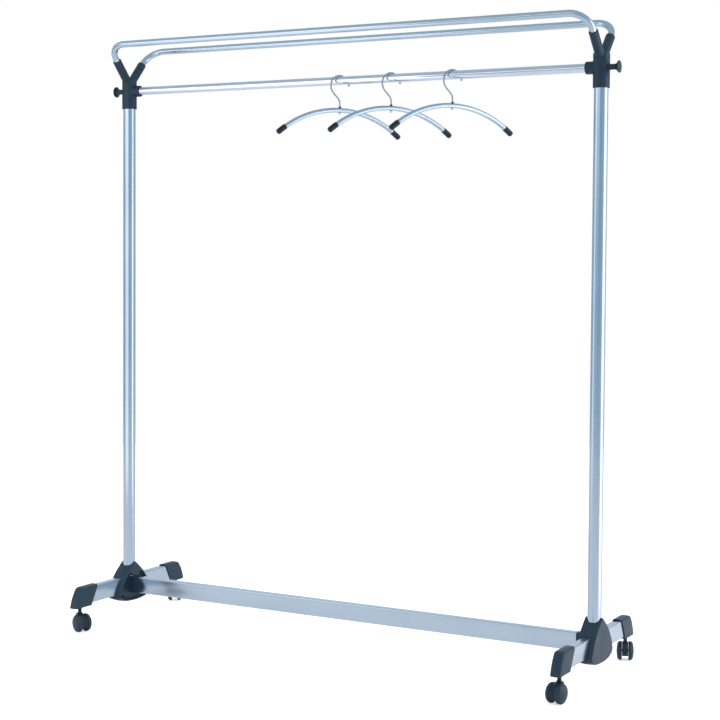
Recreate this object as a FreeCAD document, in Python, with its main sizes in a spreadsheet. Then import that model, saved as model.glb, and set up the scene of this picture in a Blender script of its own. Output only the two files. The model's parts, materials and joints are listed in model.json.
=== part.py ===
import FreeCAD, Part
import Sketcher
import math
import os

# Rolling garment stand: two round posts on wheeled legs, a low cross beam,
# two upper rails for hats, a hanging bar and three arched hangers.
# Millimetres. Origin on the floor midway between the posts.
# +X runs along the bar to the right, +Y to the back, +Z up.

V = FreeCAD.Vector
doc = FreeCAD.newDocument("garment_stand")

# --------------------------------------------------------------- dimensions
DIMS = [
    ("half_span", 703.0), ("post_dia", 35.0), ("post_wall", 1.5),
    ("leg_high", 45.0), ("leg_wide", 22.0), ("leg_wall", 1.5),
    ("leg_low", 70.5), ("leg_half", 205.0),
    ("beam_low", 69.5), ("beam_half", 660.0), ("beam_wall", 1.5),
    ("end_reach", 30.0), ("bolt_dia", 8.0), ("bolt_hole", 8.5),
    ("spigot_dia", 31.8), ("spigot_wall", 2.5), ("spigot_high", 60.0),
    ("hub_half", 22.5), ("hub_floor", 3.0), ("web_out", 13.0), ("web_in", 10.0),
    ("hub_screw_dia", 4.0), ("hub_screw_low_y", 46.6), ("hub_screw_low_z", 62.5),
    ("hub_screw_up_y", 26.5), ("hub_screw_up_z", 121.5),
    ("cap_wide", 27.5), ("cap_low", 64.5), ("cap_top", 119.0),
    ("cap_in_top", 157.0), ("cap_in_low", 186.0), ("cap_out_top", 222.5), ("cap_out_low", 250.0),
    ("cap_round", 6.0), ("cap_edge", 2.0),
    ("caster_y", 221.0), ("stem_dia", 8.0), ("stem_low", 34.0), ("stem_top", 100.0),
    ("socket_dia", 14.0), ("socket_top", 102.0), ("socket_lip", 1.2),
    ("wheel_dia", 48.0), ("wheel_in", 8.5), ("wheel_out", 20.3), ("wheel_dome", 2.0), ("wheel_tread", 14.0),
    ("axle_dia", 6.0), ("axle_half", 19.0), ("trail", 12.5), ("run_gap", 0.05),
    ("hood_wide", 15.6), ("hood_rad", 23.0), ("hood_flat", 14.0), ("hood_top", 49.0),
    ("neck_dia", 10.0), ("neck_top", 62.0), ("neck_lip", 11.8), ("bore_low", 33.5),
    ("sleeve_dia", 41.0), ("sleeve_low", 1435.5), ("sleeve_top", 1519.0),
    ("post_top", 1510.0), ("branch_dia", 23.6), ("branch_long", 86.0),
    ("bar_z", 1485.0), ("bar_dia", 22.0), ("bar_wall", 1.2), ("bar_half", 683.0),
    ("bar_socket_dia", 31.0), ("bar_socket_long", 38.5), ("plug_long", 28.0),
    ("stud_in", 658.0), ("stud_out", 742.0),
    ("peg_stem", 14.0), ("peg_head", 30.0), ("peg_neck_x", 35.0), ("peg_flare_x", 44.0),
    ("peg_face_x", 46.0), ("peg_tip_x", 47.2), ("peg_bore_x", 39.5),
    ("rail_y", 93.0), ("rail_z", 1604.5), ("rail_dia", 17.5), ("rail_wall", 1.2),
    ("rail_lean", 42.0), ("rail_bend", 50.0), ("rail_end", 85.0),
    ("hanger_turn", 60.0), ("hanger_x_one", -20.0), ("hanger_x_two", 132.0), ("hanger_x_three", 307.0),
    ("arch_z", 1408.5), ("arch_radius", 289.0), ("arch_dia", 12.6), ("arch_wall", 1.5),
    ("arch_angle", 35.4), ("tip_start", 33.8), ("tip_end", 39.5), ("tip_dia", 14.8), ("tip_round", 4.5),
    ("wire_dia", 4.3), ("hook_radius", 27.0), ("hook_lean", 46.0), ("hook_turn", 22.0),
    ("hook_clear", 0.3), ("hook_open", 8.0), ("ball_dia", 6.0),
    ("ferrule_dia", 8.0), ("ferrule_high", 3.2), ("nut_dia", 8.4), ("nut_high", 4.6), ("nut_clear", 0.3),
]
sheet = doc.addObject("Spreadsheet::Sheet", "Dims")
VALUES = {}
for i, (name, value) in enumerate(DIMS):
    sheet.set("A%d" % (i + 1), name)
    sheet.set("B%d" % (i + 1), repr(value))
    sheet.setAlias("B%d" % (i + 1), name)
    VALUES[name] = value
doc.recompute()


class Q:
    """A size: its text for the document's expressions and its value now."""

    def __init__(self, text, num):
        self.text = text
        self.num = float(num)

    @staticmethod
    def of(v):
        return v if isinstance(v, Q) else Q("(%r)" % float(v), v)

    def _do(self, other, sign, value):
        return Q("(%s %s %s)" % (self.text, sign, other.text), value)

    def __add__(self, o):
        o = Q.of(o)
        return self._do(o, "+", self.num + o.num)

    def __radd__(self, o):
        return Q.of(o) + self

    def __sub__(self, o):
        o = Q.of(o)
        return self._do(o, "-", self.num - o.num)

    def __rsub__(self, o):
        return Q.of(o) - self

    def __mul__(self, o):
        o = Q.of(o)
        return self._do(o, "*", self.num * o.num)

    def __rmul__(self, o):
        return Q.of(o) * self

    def __truediv__(self, o):
        o = Q.of(o)
        return self._do(o, "/", self.num / o.num)

    def __neg__(self):
        return Q("(0 - %s)" % self.text, -self.num)


def d(name):
    return Q("Dims.%s" % name, VALUES[name])


def num(v):
    return v.num if isinstance(v, Q) else float(v)


def qsin(a):
    a = Q.of(a)
    return Q("sin(%s * 1 deg)" % a.text, math.sin(math.radians(a.num)))


def qcos(a):
    a = Q.of(a)
    return Q("cos(%s * 1 deg)" % a.text, math.cos(math.radians(a.num)))


def bind(obj, prop, v):
    v = Q.of(v)
    setattr(obj, prop, v.num)
    obj.setExpression(prop, v.text)


def put(obj, x=0, y=0, z=0, rot=None):
    obj.Placement = FreeCAD.Placement(V(num(x), num(y), num(z)), rot or FreeCAD.Rotation())
    for axis, v in (("x", x), ("y", y), ("z", z)):
        if isinstance(v, Q):
            obj.setExpression("Placement.Base." + axis, v.text)
    return obj


def turn_z(deg):
    return FreeCAD.Rotation(V(0, 0, 1), deg)


TO_X = FreeCAD.Rotation(V(0, 1, 0), 90)
TO_MX = FreeCAD.Rotation(V(0, 1, 0), -90)
TO_Y = FreeCAD.Rotation(V(1, 0, 0), -90)

# ------------------------------------------------------- part primitives


def cyl(name, radius, height, x=0, y=0, z=0, rot=None):
    o = doc.addObject("Part::Cylinder", name)
    bind(o, "Radius", radius)
    bind(o, "Height", height)
    return put(o, x, y, z, rot)


def box(name, lx, ly, lz, x, y, z):
    o = doc.addObject("Part::Box", name)
    bind(o, "Length", lx)
    bind(o, "Width", ly)
    bind(o, "Height", lz)
    return put(o, x, y, z)


def cut(name, base, tool):
    o = doc.addObject("Part::Cut", name)
    o.Base = base
    o.Tool = tool
    return o


def fuse(name, objs):
    o = doc.addObject("Part::MultiFuse", name)
    o.Shapes = objs
    return o


def group(name, objs):
    o = doc.addObject("Part::Compound", name)
    o.Links = objs
    return o


# ------------------------------------------------------- bodies and sketches


def new_body(name):
    b = doc.addObject("PartDesign::Body", name)
    return b


def sketch(body, name, role, offset=None):
    sk = body.newObject("Sketcher::SketchObject", name)
    plane = [f for f in body.Origin.OriginFeatures if f.Role == role][0]
    sk.AttachmentSupport = [(plane, "")]
    sk.MapMode = "FlatFace"
    if offset is not None:
        offset = Q.of(offset)
        sk.AttachmentOffset = FreeCAD.Placement(V(0, 0, offset.num), FreeCAD.Rotation())
        sk.setExpression("AttachmentOffset.Base.z", offset.text)
    return sk


def pin_point(sk, geo, pos, x, y):
    for kind, v, axis in (("DistanceX", Q.of(x), -2), ("DistanceY", Q.of(y), -1)):
        if abs(v.num) < 1e-9:
            sk.addConstraint(Sketcher.Constraint("PointOnObject", geo, pos, axis))
        elif v.num > 0:
            c = sk.addConstraint(Sketcher.Constraint(kind, -1, 1, geo, pos, v.num))
            sk.setExpression("Constraints[%d]" % c, v.text)
        else:
            c = sk.addConstraint(Sketcher.Constraint(kind, geo, pos, -1, 1, -v.num))
            sk.setExpression("Constraints[%d]" % c, (-v).text)


def circle(sk, x, y, radius):
    radius = Q.of(radius)
    g = sk.addGeometry(Part.Circle(V(num(x), num(y), 0), V(0, 0, 1), radius.num))
    if abs(num(x)) < 1e-9 and abs(num(y)) < 1e-9:
        sk.addConstraint(Sketcher.Constraint("Coincident", g, 3, -1, 1))
    else:
        pin_point(sk, g, 3, x, y)
    c = sk.addConstraint(Sketcher.Constraint("Radius", g, radius.num))
    sk.setExpression("Constraints[%d]" % c, radius.text)
    return g


def arc_geo(p, q, r, ccw):
    dx, dy = q[0] - p[0], q[1] - p[1]
    length = math.hypot(dx, dy)
    rise = math.sqrt(max(r * r - length * length / 4.0, 0.0))
    side = 1.0 if ccw else -1.0
    cx = (p[0] + q[0]) / 2.0 - side * rise * dy / length
    cy = (p[1] + q[1]) / 2.0 + side * rise * dx / length
    a0 = math.atan2(p[1] - cy, p[0] - cx)
    a1 = math.atan2(q[1] - cy, q[0] - cx)
    if not ccw:
        a0, a1 = a1, a0
    while a1 <= a0:
        a1 += 2 * math.pi
    arc = Part.ArcOfCircle(Part.Circle(V(cx, cy, 0), V(0, 0, 1), r), a0, a1)
    return arc, ((1, 2) if ccw else (2, 1))


def path(sk, pts, closed=True):
    """pts: (x, y) for a straight run to the next point, or (x, y, radius, ccw) for an arc."""
    n = len(pts)
    ends = []
    for i in range(n if closed else n - 1):
        p = pts[i]
        q = pts[(i + 1) % n]
        a, b = (num(p[0]), num(p[1])), (num(q[0]), num(q[1]))
        if len(p) == 2:
            g = sk.addGeometry(Part.LineSegment(V(a[0], a[1], 0), V(b[0], b[1], 0)))
            ends.append((g, 1, 2))
        else:
            r = Q.of(p[2])
            arc, (s, e) = arc_geo(a, b, r.num, p[3])
            g = sk.addGeometry(arc)
            ends.append((g, s, e))
            c = sk.addConstraint(Sketcher.Constraint("Radius", g, r.num))
            sk.setExpression("Constraints[%d]" % c, r.text)
        pin_point(sk, g, ends[-1][1], p[0], p[1])
    m = len(ends)
    for i in range(m if closed else m - 1):
        g, s, e = ends[i]
        g2, s2, e2 = ends[(i + 1) % m]
        sk.addConstraint(Sketcher.Constraint("Coincident", g, e, g2, s2))
    if not closed:
        g, s, e = ends[-1]
        pin_point(sk, g, e, pts[-1][0], pts[-1][1])
    return [e[0] for e in ends]


def rect(sk, x0, y0, x1, y1):
    return path(sk, [(x0, y0), (x1, y0), (x1, y1), (x0, y1)])


def both_ways(feature):
    if hasattr(feature, "SideType"):
        feature.SideType = "Symmetric"
    else:
        feature.Midplane = True


def pad(body, name, sk, length, sym=False, reverse=False):
    f = body.newObject("PartDesign::Pad", name)
    f.Profile = sk
    bind(f, "Length", length)
    if sym:
        both_ways(f)
    f.Reversed = reverse
    sk.Visibility = False
    return f


def pocket(body, name, sk, length, sym=False, reverse=False, removes=True):
    doc.recompute()
    before = body.Shape.Volume
    f = body.newObject("PartDesign::Pocket", name)
    f.Profile = sk
    bind(f, "Length", length)
    if sym:
        both_ways(f)
    f.Reversed = reverse
    doc.recompute()
    if removes and not body.Shape.Volume < before - 1e-3:
        raise RuntimeError("%s of %s cuts nothing" % (name, body.Name))
    return f


def edges_where(shape, test):
    return ["Edge%d" % (i + 1) for i, e in enumerate(shape.Edges) if test(e)]


def fillet(body, name, base, radius, test):
    doc.recompute()
    names = edges_where(base.Shape, test)
    if not names:
        raise RuntimeError("%s of %s finds no edge" % (name, body.Name))
    f = body.newObject("PartDesign::Fillet", name)
    f.Base = (base, names)
    bind(f, "Radius", radius)
    doc.recompute()
    return f


PARTS = []


def done(label, obj):
    obj.Label = label
    PARTS.append((label, obj))
    return obj


SIDES = (("left", -1), ("right", 1))
PX = d("half_span")
LEG_TOP = d("leg_low") + d("leg_high")
LEG_MID = d("leg_low") + d("leg_high") / 2
BEAM_TOP = d("beam_low") + d("leg_high")
BEAM_MID = d("beam_low") + d("leg_high") / 2
LEAN = VALUES["rail_lean"]
APEX = d("rail_z") - d("rail_y") * qcos(d("rail_lean")) / qsin(d("rail_lean"))

# ------------------------------------------------------- posts
for side, s in SIDES:
    b = new_body("post_" + side)
    sk = sketch(b, "ring_post_" + side, "XY_Plane", LEG_TOP)
    circle(sk, 0, 0, d("post_dia") / 2)
    circle(sk, 0, 0, d("post_dia") / 2 - d("post_wall"))
    pad(b, "pad_post_" + side, sk, d("post_top") - LEG_TOP)
    sk = sketch(b, "hole_post_" + side, "YZ_Plane")
    circle(sk, 0, d("bar_z"), d("bolt_hole") / 2)
    pocket(b, "cross_hole_post_" + side, sk, d("post_dia") + 10, sym=True)
    put(b, PX * s)
    done("post_" + side, b)

# spigots welded on the legs, inside the posts
spigots = []
for side, s in SIDES:
    outer = cyl("spigot_outer_" + side, d("spigot_dia") / 2, d("spigot_high"), PX * s, 0, LEG_TOP)
    inner = cyl("spigot_inner_" + side, d("spigot_dia") / 2 - d("spigot_wall"), d("spigot_high") + 2, PX * s, 0, LEG_TOP - 1)
    spigots.append(cut("spigot_" + side, outer, inner))
done("post_spigots", group("post_spigots", spigots))

# ------------------------------------------------------- legs
for side, s in SIDES:
    b = new_body("leg_" + side)
    hw = d("leg_wide") / 2
    sk = sketch(b, "tube_leg_" + side, "XZ_Plane")
    rect(sk, -hw, d("leg_low"), hw, LEG_TOP)
    rect(sk, -(hw - d("leg_wall")), d("leg_low") + d("leg_wall"), hw - d("leg_wall"), LEG_TOP - d("leg_wall"))
    tube = pad(b, "pad_leg_" + side, sk, d("leg_half") * 2, sym=True)
    sk = sketch(b, "hole_leg_" + side, "YZ_Plane")
    circle(sk, 0, BEAM_MID, d("bolt_hole") / 2)
    pocket(b, "bolt_hole_leg_" + side, sk, d("leg_wide") + 10, sym=True)
    put(b, PX * s)
    done("leg_tube_" + side, b)

# ------------------------------------------------------- base beam
outer = box("beam_outer", d("beam_half") * 2, d("leg_wide"), d("leg_high"), -d("beam_half"), -d("leg_wide") / 2, d("beam_low"))
inner = box("beam_inner", d("beam_half") * 2 + 2, d("leg_wide") - d("beam_wall") * 2, d("leg_high") - d("beam_wall") * 2,
            -d("beam_half") - 1, -d("leg_wide") / 2 + d("beam_wall"), d("beam_low") + d("beam_wall"))
done("base_beam", cut("base_beam", outer, inner))

# end pieces between the beam and the legs, with a spigot inside the beam
for side, s in SIDES:
    b = new_body("end_piece_" + side)
    hw = d("leg_wide") / 2
    sk = sketch(b, "block_end_" + side, "XZ_Plane")
    rect(sk, PX - hw, d("beam_low"), d("beam_half"), BEAM_TOP)
    pad(b, "pad_end_" + side, sk, d("leg_wide"), sym=True)
    sk = sketch(b, "tongue_end_" + side, "XZ_Plane")
    g = d("beam_wall") + 0.1
    rect(sk, d("beam_half"), d("beam_low") + g, d("beam_half") - d("end_reach"), BEAM_TOP - g)
    pad(b, "pad_tongue_" + side, sk, d("leg_wide") - g * 2, sym=True)
    sk = sketch(b, "bore_end_" + side, "YZ_Plane", d("half_span"))
    circle(sk, 0, BEAM_MID, d("bolt_dia") / 2)
    pocket(b, "bore_cut_end_" + side, sk, d("half_span") - 600)
    put(b, 0, 0, 0, turn_z(0 if s > 0 else 180))
    done("beam_end_piece_" + side, b)

bolts = []
for side, s in SIDES:
    rot = TO_MX if s > 0 else TO_X
    shank = cyl("beam_bolt_shank_" + side, d("bolt_dia") / 2, d("half_span") + d("leg_wide") / 2 - 634, (PX + d("leg_wide") / 2) * s, 0, BEAM_MID, rot)
    rot = TO_X if s > 0 else TO_MX
    head = cyl("beam_bolt_head_" + side, 6.5, 5.3, (PX + d("leg_wide") / 2) * s, 0, BEAM_MID, rot)
    bolts.append(fuse("beam_bolt_" + side, [shank, head]))
done("beam_bolts", group("beam_bolts", bolts))

# ------------------------------------------------------- hub covers
# seam outline and face outline: half points from the tip to the bottom middle
SEAM = [(5.5, 154.5), (12.5, 150.5), (19.0, 145.5), (51.0, 117.5), (78.0, 73.0), (71.5, 58.0), (49.0, 50.0)]
FACE = [(5.0, 152.5), (12.5, 147.0), (20.0, 140.5), (46.0, 114.5), (69.5, 73.0), (63.5, 58.0), (46.0, 50.8)]
SEAM_BOTTOM, FACE_BOTTOM = 46.0, 47.2


def hub_outline(sk, half, bottom, tip_radius):
    (x1, y1), (x2, y2), (x3, y3), (x4, y4), (x5, y5), (x6, y6), (x7, y7) = half
    width = x7
    sag = y7 - bottom
    belly = (width * width + sag * sag) / (2 * sag)
    right = [
        (-x1, y1, tip_radius, False),
        (x1, y1),
        (x2, y2),
        (x3, y3, 152.0, False),
        (x4, y4, 152.0, False),
        (x5, y5, 14.0, False),
        (x6, y6),
        (x7, y7, belly, False),
        (-x7, y7),
        (-x6, y6, 14.0, False),
        (-x5, y5, 152.0, False),
        (-x4, y4, 152.0, False),
        (-x3, y3),
        (-x2, y2),
    ]
    return path(sk, right)


CAVITY = [(0.0, 118.0), (35.0, 118.0), (42.0, 112.0), (53.5, 96.0), (62.5, 81.0), (66.2, 71.0), (64.2, 65.0), (56.0, 58.0), (0.0, 51.8)]
RECESS = [(0.0, 117.5), (12.5, 117.5), (26.0, 127.5), (43.0, 111.5), (54.0, 96.0), (62.5, 81.0), (65.8, 71.0), (63.8, 64.5), (56.0, 57.6), (30.0, 53.4), (0.0, 51.6)]


def mirror_loop(half):
    left = [(-x, y) for x, y in reversed(half) if x > 0]
    return half + left


def hub_cover(label, inner, side_turn, x):
    b = new_body(label)
    s = -1.0 if inner else 1.0
    seam = sketch(b, "seam_" + label, "YZ_Plane")
    hub_outline(seam, SEAM, SEAM_BOTTOM, 6.2)
    face = sketch(b, "face_" + label, "YZ_Plane", d("hub_half") * s)
    hub_outline(face, FACE, FACE_BOTTOM, 5.7)
    loft = b.newObject("PartDesign::AdditiveLoft", "loft_" + label)
    loft.Profile = seam
    loft.Sections = [face]
    loft.Ruled = True
    doc.recompute()
    # hollow from the seam side
    sk = sketch(b, "cavity_" + label, "YZ_Plane")
    path(sk, mirror_loop(CAVITY))
    depth = (d("web_in")) if inner else (d("hub_half") - d("hub_floor"))
    pocket(b, "hollow_" + label, sk, depth, reverse=not inner)
    # screw bosses
    sk = sketch(b, "bosses_" + label, "YZ_Plane")
    for sy in (-1, 1):
        circle(sk, d("hub_screw_low_y") * sy, d("hub_screw_low_z"), 4.6)
    pad(b, "boss_pad_" + label, sk, depth, reverse=inner)
    if inner:
        # recess round the beam's end, leaving a rim
        sk = sketch(b, "recess_" + label, "YZ_Plane", -d("hub_half"))
        path(sk, mirror_loop(RECESS))
        pocket(b, "recess_cut_" + label, sk, d("hub_half") - d("web_out"), reverse=True)
        # window for the beam's end piece
        sk = sketch(b, "window_" + label, "YZ_Plane")
        w = d("leg_wide") / 2 + 0.2
        rect(sk, -w, d("beam_low") - 0.2, w, BEAM_TOP + 0.2)
        pocket(b, "window_cut_" + label, sk, d("web_out") + 5, reverse=False)
    # screw holes
    sk = sketch(b, "holes_" + label, "YZ_Plane")
    for sy in (-1, 1):
        circle(sk, d("hub_screw_low_y") * sy, d("hub_screw_low_z"), d("hub_screw_dia") / 2 + (0.25 if inner else 0.0))
        circle(sk, d("hub_screw_up_y") * sy, d("hub_screw_up_z"), d("hub_screw_dia") / 2 + (0.25 if inner else 0.0))
    pocket(b, "hole_cut_" + label, sk, (d("hub_half") + 1) if inner else Q.of(16.0), reverse=not inner)
    # the post's half bore and the leg's slot
    sk = sketch(b, "bore_" + label, "XY_Plane", LEG_TOP)
    circle(sk, 0, 0, d("post_dia") / 2)
    pocket(b, "bore_cut_" + label, sk, 60.0, reverse=True)
    sk = sketch(b, "slot_" + label, "XZ_Plane")
    hw = d("leg_wide") / 2
    rect(sk, -hw, d("leg_low"), hw, LEG_TOP)
    pocket(b, "slot_cut_" + label, sk, 200.0, sym=True)
    put(b, x, 0, 0, turn_z(side_turn))
    return done(label, b)


for side, s in SIDES:
    turn = 0 if s > 0 else 180
    hub_cover("hub_outer_cover_" + side, False, turn, PX * s)
    hub_cover("hub_inner_cover_" + side, True, turn, PX * s)

screws = []
for side, s in SIDES:
    for k, (yy, zz) in enumerate(((d("hub_screw_low_y"), d("hub_screw_low_z")), (-d("hub_screw_low_y"), d("hub_screw_low_z")),
                                  (d("hub_screw_up_y"), d("hub_screw_up_z")), (-d("hub_screw_up_y"), d("hub_screw_up_z")))):
        rot = TO_X if s > 0 else TO_MX
        start = PX - d("web_out")
        shank = cyl("hub_screw_shank_%s_%d" % (side, k), d("hub_screw_dia") / 2, d("web_out") + 15.5, start * s, yy, zz, rot)
        rot = TO_MX if s > 0 else TO_X
        head = cyl("hub_screw_head_%s_%d" % (side, k), 3.6, 2.6, start * s, yy, zz, rot)
        screws.append(fuse("hub_screw_%s_%d" % (side, k), [shank, head]))
done("hub_screws", group("hub_screws", screws))

# ------------------------------------------------------- leg end caps
CORNERS = (("fl", -1, -1), ("fr", 1, -1), ("bl", -1, 1), ("br", 1, 1))
for key, sx, sy in CORNERS:
    label = "leg_end_cap_" + key
    b = new_body(label)
    sk = sketch(b, "side_" + key, "YZ_Plane")
    path(sk, [
        (d("cap_in_low"), d("cap_low")),
        (d("cap_out_low"), d("cap_low"), 110.0, True),
        (d("cap_out_top"), d("cap_top")),
        (d("cap_in_top"), d("cap_top")),
    ])
    block = pad(b, "pad_cap_" + key, sk, d("cap_wide"), sym=True)
    half = VALUES["cap_wide"] / 2
    block = fillet(b, "round_cap_" + key, block, d("cap_round"),
                   lambda e: e.BoundBox.XLength > 20 and e.BoundBox.YMax > 220 and e.BoundBox.YLength < 1e-4)
    block = fillet(b, "edge_cap_" + key, block, d("cap_edge"),
                   lambda e: all(abs(abs(v.Point.x) - half) < 1e-4 for v in e.Vertexes) and e.BoundBox.XLength < 1e-4
                   and not (e.BoundBox.ZLength > 45 and e.BoundBox.YMax < 200))
    sk = sketch(b, "tube_cap_" + key, "YZ_Plane")
    rect(sk, 140.0, d("leg_low"), d("leg_half"), LEG_TOP)
    pocket(b, "tube_cut_cap_" + key, sk, d("leg_wide"), sym=True)
    sk = sketch(b, "bore_cap_" + key, "XY_Plane")
    circle(sk, 0, d("caster_y"), d("socket_dia") / 2)
    pocket(b, "bore_cut_cap_" + key, sk, d("socket_top"), reverse=True)
    put(b, PX * sx, 0, 0, turn_z(0 if sy > 0 else 180))
    done(label, b)

# ------------------------------------------------------- casters
# stems stand in plastic sockets inside the caps; the hoods turn on the stems
sockets, stems = [], []
for key, sx, sy in CORNERS:
    cx, cy = PX * sx, d("caster_y") * sy
    body_c = cyl("socket_out_" + key, d("socket_dia") / 2, d("socket_top") - d("cap_low"), cx, cy, d("cap_low"))
    lip_c = cyl("socket_lip_" + key, d("socket_dia") / 2, d("socket_lip"), cx, cy, d("cap_low") - d("socket_lip"))
    hole_c = cyl("socket_hole_" + key, d("stem_dia") / 2, d("socket_top"), cx, cy, 20.0)
    sockets.append(cut("socket_" + key, fuse("socket_body_" + key, [body_c, lip_c]), hole_c))
    stems.append(cyl("stem_" + key, d("stem_dia") / 2, d("stem_top") - d("stem_low"), cx, cy, d("stem_low")))
done("caster_sockets", group("caster_sockets", sockets))
done("caster_stems", group("caster_stems", stems))

CASTER_TURN = {"fl": -22.7, "fr": -97.3, "bl": 125.7, "br": 109.8}
ZW = d("wheel_dia") / 2
for key, sx, sy in CORNERS:
    cx, cy, rot = PX * sx, d("caster_y") * sy, turn_z(CASTER_TURN[key])
    # hood: a disc-shaped web between the wheels, flat underneath, with a round neck for the stem
    b = new_body("caster_hood_" + key)
    sk = sketch(b, "web_" + key, "XZ_Plane")
    drop = ZW - d("hood_flat")
    reach = math.sqrt(VALUES["hood_rad"] ** 2 - drop.num ** 2)
    path(sk, [
        (d("trail") - reach, d("hood_flat")),
        (d("trail") + reach, d("hood_flat"), d("hood_rad"), True),
        (d("trail") + 4, ZW + math.sqrt(VALUES["hood_rad"] ** 2 - 16)),
        (Q.of(-4.5), d("hood_top"), 5.0, True),
        (Q.of(-9.3), d("hood_top") - 5),
        (Q.of(-9.3), ZW - 2),
    ])
    pad(b, "web_pad_" + key, sk, d("hood_wide"), sym=True)
    sk = sketch(b, "neck_" + key, "XZ_Plane")
    path(sk, [
        (Q.of(0), d("bore_low") + 2),
        (d("neck_dia") / 2 + 1.5, d("bore_low") + 2),
        (d("neck_dia") / 2 + 1.5, d("hood_top") + 1),
        (d("neck_dia") / 2, d("hood_top") + 3),
        (d("neck_dia") / 2, d("neck_top") - 3),
        (d("neck_lip") / 2, d("neck_top") - 1),
        (d("neck_lip") / 2, d("neck_top")),
        (Q.of(0), d("neck_top")),
    ])
    rev = b.newObject("PartDesign::Revolution", "neck_turn_" + key)
    rev.Profile = sk
    rev.ReferenceAxis = (sk, ["V_Axis"])
    rev.Angle = 360.0
    doc.recompute()
    sk = sketch(b, "stem_bore_" + key, "XY_Plane", d("bore_low"))
    circle(sk, 0, 0, d("stem_dia") / 2 + d("run_gap"))
    pocket(b, "stem_bore_cut_" + key, sk, 60.0, reverse=True)
    sk = sketch(b, "axle_bore_" + key, "XZ_Plane")
    circle(sk, d("trail"), ZW, d("axle_dia") / 2)
    pocket(b, "axle_bore_cut_" + key, sk, 40.0, sym=True)
    put(b, cx, cy, 0, rot)
    done("caster_hood_" + key, b)
    # axle
    cxa = num(cx) + VALUES["trail"] * math.cos(math.radians(CASTER_TURN[key]))
    cya = num(cy) + VALUES["trail"] * math.sin(math.radians(CASTER_TURN[key]))
    b = new_body("caster_axle_" + key)
    sk = sketch(b, "rod_" + key, "XZ_Plane")
    circle(sk, d("trail"), ZW, d("axle_dia") / 2)
    pad(b, "rod_pad_" + key, sk, d("axle_half") * 2, sym=True)
    put(b, cx, cy, 0, rot)
    done("caster_axle_" + key, b)
    # wheels: turned discs with a domed outer face and a blind bore
    for letter, s in (("a", 1), ("b", -1)):
        name = "caster_wheel_%s_%s" % (key, letter)
        b = new_body(name)
        sk = sketch(b, "section_" + name, "XY_Plane")
        bore = d("axle_dia") / 2 + d("run_gap")
        rw = d("wheel_dia") / 2
        dome_w, dome_s = rw.num - 7.5, VALUES["wheel_dome"]
        dome_r = (dome_w * dome_w + dome_s * dome_s) / (2 * dome_s)
        pts = [
            (bore, d("wheel_in")),
            (rw - 1.5, d("wheel_in"), 1.5, True),
            (rw, d("wheel_in") + 1.5),
            (rw, d("wheel_tread"), 9.0, True),
            (rw - 7.5, d("wheel_out"), dome_r, True),
            (Q.of(0), d("wheel_out") + d("wheel_dome")),
            (Q.of(0), d("axle_half") + 0.4),
            (bore, d("axle_half") + 0.4),
        ]
        path(sk, pts)
        rev = b.newObject("PartDesign::Revolution", "turned_" + name)
        rev.Profile = sk
        rev.ReferenceAxis = (sk, ["V_Axis"])
        rev.Angle = 360.0
        put(b, cxa, cya, ZW, turn_z(CASTER_TURN[key] + (0 if s > 0 else 180)))
        done(name, b)

# ------------------------------------------------------- top connectors
BRANCH = {1: FreeCAD.Rotation(V(1, 0, 0), -LEAN), -1: FreeCAD.Rotation(V(1, 0, 0), LEAN)}
for side, s in SIDES:
    x = PX * s
    sleeve = cyl("sleeve_" + side, d("sleeve_dia") / 2, d("sleeve_top") - d("sleeve_low"), x, 0, d("sleeve_low"))
    arms = [cyl("branch_%s_%s" % (side, n), d("branch_dia") / 2, d("branch_long"), x, 0, APEX, BRANCH[k]) for n, k in (("b", 1), ("f", -1))]
    sock = cyl("bar_socket_" + side, d("bar_socket_dia") / 2, d("bar_socket_long"), x, 0, d("bar_z"), TO_MX if s > 0 else TO_X)
    solid = fuse("connector_solid_" + side, [sleeve, sock] + arms)
    tools = [cyl("connector_bore_" + side, d("post_dia") / 2, d("post_top") - d("sleeve_low") + 10, x, 0, d("sleeve_low") - 10)]
    depth = d("rail_end") - d("rail_bend")
    at = d("branch_long") - depth
    for n, k in (("b", 1), ("f", -1)):
        tools.append(cyl("rail_bore_%s_%s" % (side, n), d("rail_dia") / 2, depth + 10, x, at * qsin(d("rail_lean")) * k, APEX + at * qcos(d("rail_lean")), BRANCH[k]))
    tools.append(cyl("bar_bore_" + side, d("bar_dia") / 2, d("bar_socket_long") + 5, x, 0, d("bar_z"), TO_MX if s > 0 else TO_X))
    tools.append(cyl("stud_bore_" + side, d("bolt_hole") / 2, 30.0, x, 0, d("bar_z"), TO_X if s > 0 else TO_MX))
    done("top_connector_" + side, cut("top_connector_" + side, solid, fuse("connector_tools_" + side, tools)))

# ------------------------------------------------------- upper rails
for name, k in (("front", -1), ("back", 1)):
    b = new_body("rail_" + name)
    spine = sketch(b, "spine_" + name, "XZ_Plane")
    L, r, e = PX, d("rail_bend"), d("rail_end")
    path(spine, [(-L, -e), (-L, -r, r, False), (r - L, Q.of(0)), (L - r, Q.of(0), r, False), (L, -r), (L, -e)], closed=False)
    ring = sketch(b, "ring_" + name, "XY_Plane", -e)
    circle(ring, -L, 0, d("rail_dia") / 2)
    circle(ring, -L, 0, d("rail_dia") / 2 - d("rail_wall"))
    doc.recompute()
    pipe = b.newObject("PartDesign::AdditivePipe", "pipe_" + name)
    pipe.Profile = ring
    pipe.Spine = spine
    doc.recompute()
    put(b, 0, d("rail_y") * k, d("rail_z"), FreeCAD.Rotation(V(1, 0, 0), -LEAN * k))
    done("upper_rail_" + name, b)

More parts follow.
